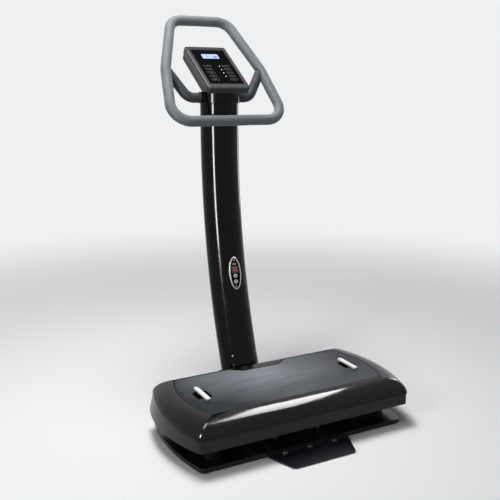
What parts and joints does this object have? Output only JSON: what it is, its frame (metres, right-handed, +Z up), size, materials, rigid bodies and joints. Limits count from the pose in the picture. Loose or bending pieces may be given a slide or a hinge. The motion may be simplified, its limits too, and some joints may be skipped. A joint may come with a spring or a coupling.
{
  "type": "vibration plate",
  "caption": "Standing vibration plate: rubber-topped oscillating deck on isolators, bowed gloss column, tilted key console and a closed foam handle loop.",
  "frame": {"origin": "centre of the bounding box's bottom face, on the floor midway between the tongue's front edge and the back of the handle loop", "axes": "+Z up, +X to the right as seen by a user facing the console, +Y from the deck towards the column"},
  "size_m": [0.9012, 0.975, 1.46],
  "materials": {
    "black_steel": "satin black powder coat",
    "plate_steel": "semi-gloss charcoal coat",
    "zinc_screw": "zinc plated",
    "raw_steel": "machined",
    "black_rubber": "matt",
    "mat_rubber": "fine grained, matt",
    "foam_grip": "moulded foam, matt",
    "arm_foam": "moulded foam, matt",
    "gloss_black": "high gloss",
    "skirt_black": "gloss",
    "collar_black": "satin gloss",
    "bezel_grey": "satin",
    "shell_dark": "satin",
    "panel_black": "gloss",
    "key_black": "satin",
    "lit_screen": "lit",
    "lit_lamp": "lit",
    "lit_display": "lit",
    "lens_clear": "smoked",
    "silver_plastic": "satin",
    "button_grey": "satin",
    "strap_bar": "satin",
    "motor_metal": "cast",
    "board_green": "coated",
    "black_plastic": "fine grained",
    "wheel_rubber": "matt"
  },
  "bodies": {
    "base": {"base_plate": "plate_steel", "keel_plate": "black_steel", "keel_bolts": "zinc_screw", "tongue_screws": "zinc_screw", "rubber_feet": "black_rubber", "isolator_rubbers": "black_rubber", "mast_foot": "black_steel", "foot_bolts": "zinc_screw", "mast_tube": "black_steel", "column_front_shell": "gloss_black", "column_rear_shell": "gloss_black", "housing_screws": "zinc_screw", "lower_panel_bezel": "silver_plastic", "lower_panel_inset": "panel_black", "lower_display": "lit_display", "lower_lenses": "lens_clear", "collar_front": "collar_black", "collar_rear": "collar_black", "arm_tube": "black_steel", "arm_grip_left": "arm_foam", "arm_grip_right": "arm_foam", "loop_tube": "black_steel", "loop_grip": "foam_grip", "console_bracket": "black_steel", "console_shell": "shell_dark", "console_bezel": "bezel_grey", "console_panel": "panel_black", "console_screen": "lit_screen", "console_leds": "lit_lamp", "console_board": "board_green", "power_box": "black_plastic", "mains_inlet": "black_plastic", "wheel_axles": "raw_steel"},
    "deck": {"deck_frame": "black_steel", "deck_skirt": "skirt_black", "deck_cover": "gloss_black", "deck_cover_screws": "zinc_screw", "mat": "mat_rubber", "recess_cups": "black_plastic", "strap_bars": "strap_bar", "motor_housing_left": "motor_metal", "motor_housing_right": "motor_metal", "motor_end_caps": "motor_metal"},
    "rotor_left": {"rotor_left": "raw_steel"},
    "rotor_right": {"rotor_right": "raw_steel"},
    "console_key_01": {"console_key_01": "key_black"},
    "console_key_02": {"console_key_02": "key_black"},
    "console_key_03": {"console_key_03": "key_black"},
    "console_key_04": {"console_key_04": "key_black"},
    "console_key_05": {"console_key_05": "key_black"},
    "console_key_06": {"console_key_06": "key_black"},
    "console_key_07": {"console_key_07": "key_black"},
    "console_key_08": {"console_key_08": "key_black"},
    "console_key_09": {"console_key_09": "key_black"},
    "console_key_10": {"console_key_10": "key_black"},
    "panel_button_upper": {"panel_button_upper": "button_grey"},
    "panel_button_lower": {"panel_button_lower": "button_grey"},
    "rocker_switch": {"rocker_switch": "black_plastic"},
    "wheel_left": {"wheel_left": "wheel_rubber"},
    "wheel_right": {"wheel_right": "wheel_rubber"}
  },
  "joints": [
    {"name": "deck_bounce", "type": "slide", "parent": "base", "child": "deck", "axis": [0, 0, 1], "range_m": [-0.003, 0.003], "stiffness_N_per_m": 200000, "springref_m": 0.00185, "deforming": ["isolator_rubbers"]},
    {"name": "rotor_left_spin", "type": "hinge", "parent": "deck", "child": "rotor_left", "pos_m": [-0.11, -0.19, 0.104], "axis": [0, 1, 0], "continuous": true},
    {"name": "rotor_right_spin", "type": "hinge", "parent": "deck", "child": "rotor_right", "pos_m": [0.11, -0.19, 0.104], "axis": [0, 1, 0], "continuous": true},
    {"name": "console_key_01_press", "type": "slide", "parent": "base", "child": "console_key_01", "axis": [0, 0.5736, -0.8192], "range_m": [0, 0.001], "stiffness_N_per_m": 300, "springref_m": -0.001},
    {"name": "console_key_02_press", "type": "slide", "parent": "base", "child": "console_key_02", "axis": [0, 0.5736, -0.8192], "range_m": [0, 0.001], "stiffness_N_per_m": 300, "springref_m": -0.001},
    {"name": "console_key_03_press", "type": "slide", "parent": "base", "child": "console_key_03", "axis": [0, 0.5736, -0.8192], "range_m": [0, 0.001], "stiffness_N_per_m": 300, "springref_m": -0.001},
    {"name": "console_key_04_press", "type": "slide", "parent": "base", "child": "console_key_04", "axis": [0, 0.5736, -0.8192], "range_m": [0, 0.001], "stiffness_N_per_m": 300, "springref_m": -0.001},
    {"name": "console_key_05_press", "type": "slide", "parent": "base", "child": "console_key_05", "axis": [0, 0.5736, -0.8192], "range_m": [0, 0.001], "stiffness_N_per_m": 300, "springref_m": -0.001},
    {"name": "console_key_06_press", "type": "slide", "parent": "base", "child": "console_key_06", "axis": [0, 0.5736, -0.8192], "range_m": [0, 0.001], "stiffness_N_per_m": 300, "springref_m": -0.001},
    {"name": "console_key_07_press", "type": "slide", "parent": "base", "child": "console_key_07", "axis": [0, 0.5736, -0.8192], "range_m": [0, 0.001], "stiffness_N_per_m": 300, "springref_m": -0.001},
    {"name": "console_key_08_press", "type": "slide", "parent": "base", "child": "console_key_08", "axis": [0, 0.5736, -0.8192], "range_m": [0, 0.001], "stiffness_N_per_m": 300, "springref_m": -0.001},
    {"name": "console_key_09_press", "type": "slide", "parent": "base", "child": "console_key_09", "axis": [0, 0.5736, -0.8192], "range_m": [0, 0.001], "stiffness_N_per_m": 300, "springref_m": -0.001},
    {"name": "console_key_10_press", "type": "slide", "parent": "base", "child": "console_key_10", "axis": [0, 0.5736, -0.8192], "range_m": [0, 0.001], "stiffness_N_per_m": 300, "springref_m": -0.001},
    {"name": "panel_button_upper_press", "type": "slide", "parent": "base", "child": "panel_button_upper", "axis": [0, 0.9762, -0.2168], "range_m": [0, 0.001], "stiffness_N_per_m": 300, "springref_m": -0.001},
    {"name": "panel_button_lower_press", "type": "slide", "parent": "base", "child": "panel_button_lower", "axis": [0, 0.9762, -0.2168], "range_m": [0, 0.001], "stiffness_N_per_m": 300, "springref_m": -0.001},
    {"name": "rocker_tilt", "type": "hinge", "parent": "base", "child": "rocker_switch", "pos_m": [0.022, 0.208, 0.048], "axis": [1, 0, 0], "range_deg": [0, 12]},
    {"name": "wheel_left_roll", "type": "hinge", "parent": "base", "child": "wheel_left", "pos_m": [-0.145, 0.19, 0.028], "axis": [1, 0, 0], "continuous": true},
    {"name": "wheel_right_roll", "type": "hinge", "parent": "base", "child": "wheel_right", "pos_m": [0.145, 0.19, 0.028], "axis": [1, 0, 0], "continuous": true}
  ],
  "couplings": [
    {"joint": "rotor_right_spin", "follows": "rotor_left_spin", "ratio": -1}
  ]
}
